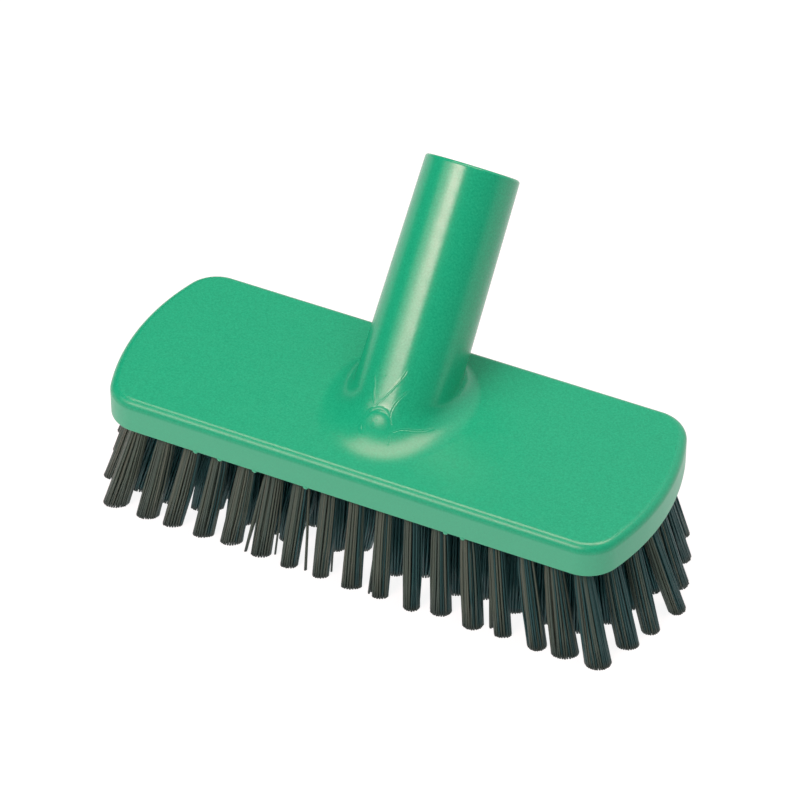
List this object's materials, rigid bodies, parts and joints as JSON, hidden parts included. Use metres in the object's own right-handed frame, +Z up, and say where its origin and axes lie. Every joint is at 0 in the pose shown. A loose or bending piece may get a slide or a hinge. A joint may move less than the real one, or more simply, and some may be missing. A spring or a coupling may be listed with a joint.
{
  "type": "deck brush head",
  "caption": "Deck scrub brush head: a rounded plastic block with a handle socket leaning back from its top and stiff bristle tufts fanning out below.",
  "frame": {"origin": "on the floor under the middle of the block, at the tip of the middle tuft", "axes": "+X along the block's length, +Y towards the back, the way the handle socket leans, +Z up from the bristle tips to the block"},
  "size_m": [0.2451, 0.1276, 0.1424],
  "materials": {
    "block_plastic": "semi-gloss moulded polypropylene",
    "bristle": "stiff extruded filament, cut flat",
    "staple_steel": "flat steel wire"
  },
  "bodies": {
    "root": {"brush_block": "block_plastic", "handle_socket": "block_plastic", "front_bristles": "bristle", "middle_bristles": "bristle", "rear_bristles": "bristle", "staple_row_1": "staple_steel", "staple_row_2": "staple_steel", "staple_row_3": "staple_steel", "staple_row_4": "staple_steel", "staple_row_5": "staple_steel", "staple_row_6": "staple_steel", "staple_row_7": "staple_steel"}
  },
  "joints": []
}
